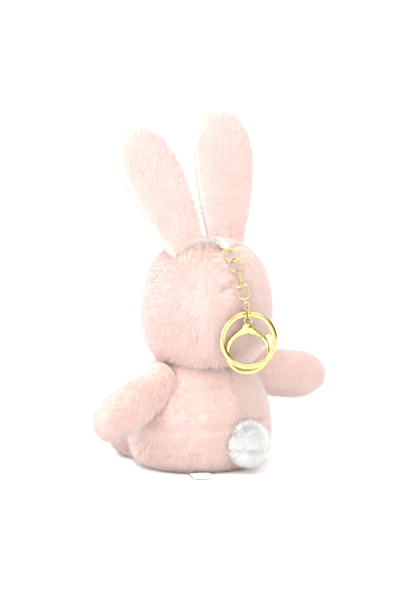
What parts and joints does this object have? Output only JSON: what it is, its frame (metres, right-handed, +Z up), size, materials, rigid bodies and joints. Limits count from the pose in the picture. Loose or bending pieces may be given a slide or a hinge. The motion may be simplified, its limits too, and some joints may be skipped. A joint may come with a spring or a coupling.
{
  "type": "plush rabbit keychain",
  "caption": "Seated plush rabbit with a ribbon loop at its crown, which carries a gold chain, a swivel, a split key ring and a round snap clasp.",
  "frame": {"origin": "middle of the flat seat, on the surface that the rabbit sits on", "axes": "+Z up, -Y the way the face looks, +X the rabbit's own left"},
  "size_m": [0.1563, 0.1013, 0.1833],
  "materials": {
    "pink_plush": "short fur",
    "white_plush": "short fur",
    "filling": "loose fibre",
    "satin": "satin weave",
    "gold": "polished plating",
    "thread": "embroidery",
    "nose_thread": "embroidery",
    "label_tape": "woven tape"
  },
  "bodies": {
    "root": {"head_cover": "pink_plush", "head_filling": "filling", "body_cover": "pink_plush", "body_filling": "filling", "left_foot": "pink_plush", "right_foot": "pink_plush", "tail": "white_plush", "left_eye": "thread", "right_eye": "thread", "nose": "nose_thread", "care_label": "label_tape", "ribbon_loop": "satin"},
    "left_arm": {"left_arm_cover": "pink_plush", "left_arm_filling": "filling"},
    "right_arm": {"right_arm_cover": "pink_plush", "right_arm_filling": "filling"},
    "left_ear": {"left_ear_cover": "pink_plush", "left_ear_padding": "filling"},
    "right_ear": {"right_ear_cover": "pink_plush", "right_ear_padding": "filling"},
    "loop_ring": {"loop_ring": "gold"},
    "jump_ring_1": {"jump_ring_1": "gold"},
    "jump_ring_2": {"jump_ring_2": "gold"},
    "swivel_upper": {"swivel_upper_loop": "gold", "swivel_pin": "gold"},
    "swivel_lower": {"swivel_lower_loop": "gold"},
    "chain_link_1": {"chain_link_1": "gold"},
    "chain_link_2": {"chain_link_2": "gold"},
    "end_ring": {"end_ring": "gold"},
    "key_ring": {"key_ring": "gold"},
    "clasp": {"clasp_body": "gold", "clasp_pin": "gold", "clasp_spring": "gold"},
    "clasp_gate": {"clasp_gate": "gold"}
  },
  "joints": [
    {"name": "loop_ring_swing", "type": "hinge", "parent": "root", "child": "loop_ring", "pos_m": [0.00045, 0.01915, 0.11712], "axis": [0.8761, -0.2715, 0.3983], "range_deg": [0, 30]},
    {"name": "jump_ring_1_swing", "type": "hinge", "parent": "loop_ring", "child": "jump_ring_1", "pos_m": [0.00133, 0.02651, 0.1156], "axis": [0.9325, 0.1991, 0.3014], "range_deg": [0, 25]},
    {"name": "jump_ring_2_swing", "type": "hinge", "parent": "jump_ring_1", "child": "jump_ring_2", "pos_m": [0.00213, 0.0304, 0.11085], "axis": [0.5802, -0.6948, -0.4249], "range_deg": [0, 25]},
    {"name": "swivel_swing", "type": "hinge", "parent": "jump_ring_2", "child": "swivel_upper", "pos_m": [0.00246, 0.03367, 0.10559], "axis": [0.956, -0.2795, -0.0895], "range_deg": [0, 30]},
    {"name": "swivel_spin", "type": "hinge", "parent": "swivel_upper", "child": "swivel_lower", "pos_m": [0.00267, 0.0363, 0.09965], "axis": [0.0326, 0.4042, -0.9141], "range_deg": [-180, 0]},
    {"name": "chain_link_1_swing", "type": "hinge", "parent": "swivel_lower", "child": "chain_link_1", "pos_m": [0.00293, 0.03949, 0.09243], "axis": [0.742, -0.6226, -0.2488], "range_deg": [0, 25]},
    {"name": "chain_link_2_swing", "type": "hinge", "parent": "chain_link_1", "child": "chain_link_2", "pos_m": [0.00282, 0.04044, 0.08974], "axis": [0.809, 0.5638, 0.1663], "range_deg": [0, 25]},
    {"name": "end_ring_swing", "type": "hinge", "parent": "chain_link_2", "child": "end_ring", "pos_m": [0.00289, 0.04117, 0.08694], "axis": [0.6942, -0.7007, -0.1646], "range_deg": [0, 30]},
    {"name": "key_ring_swing", "type": "hinge", "parent": "end_ring", "child": "key_ring", "pos_m": [0.00336, 0.04267, 0.08372], "axis": [0.5291, 0.8486, 0], "range_deg": [-15, 20]},
    {"name": "clasp_swing", "type": "hinge", "parent": "end_ring", "child": "clasp", "pos_m": [0.00254, 0.04136, 0.08336], "axis": [0.5291, 0.8486, 0], "range_deg": [-10, 20]},
    {"name": "clasp_gate_open", "type": "hinge", "parent": "clasp", "child": "clasp_gate", "pos_m": [-0.0016, 0.04324, 0.07491], "axis": [0.5278, 0.8465, -0.0698], "range_deg": [0, 30], "stiffness_Nm_per_rad": 0.002, "springref_deg": -20.05, "deforming": ["clasp_spring"]},
    {"name": "left_arm_lift", "type": "hinge", "parent": "root", "child": "left_arm", "pos_m": [0.024, 0.004, 0.047], "axis": [0, -1, 0], "range_deg": [0, 30], "stiffness_Nm_per_rad": 0.06, "springref_deg": -1.72, "deforming": ["left_arm_cover"]},
    {"name": "right_arm_lift", "type": "hinge", "parent": "root", "child": "right_arm", "pos_m": [-0.024, 0.004, 0.047], "axis": [0, 1, 0], "range_deg": [-5, 30], "stiffness_Nm_per_rad": 0.06, "springref_deg": -1.72, "deforming": ["right_arm_cover"]},
    {"name": "left_ear_fold", "type": "hinge", "parent": "root", "child": "left_ear", "pos_m": [0.01032, 0.00541, 0.11103], "axis": [0.9717, 0.0929, -0.2171], "range_deg": [-20, 15], "stiffness_Nm_per_rad": 0.04, "deforming": ["left_ear_cover"]},
    {"name": "right_ear_fold", "type": "hinge", "parent": "root", "child": "right_ear", "pos_m": [-0.0143, 0.00376, 0.11456], "axis": [0.9798, -0.0535, 0.1927], "range_deg": [-20, 25], "stiffness_Nm_per_rad": 0.04, "deforming": ["right_ear_cover"]}
  ]
}
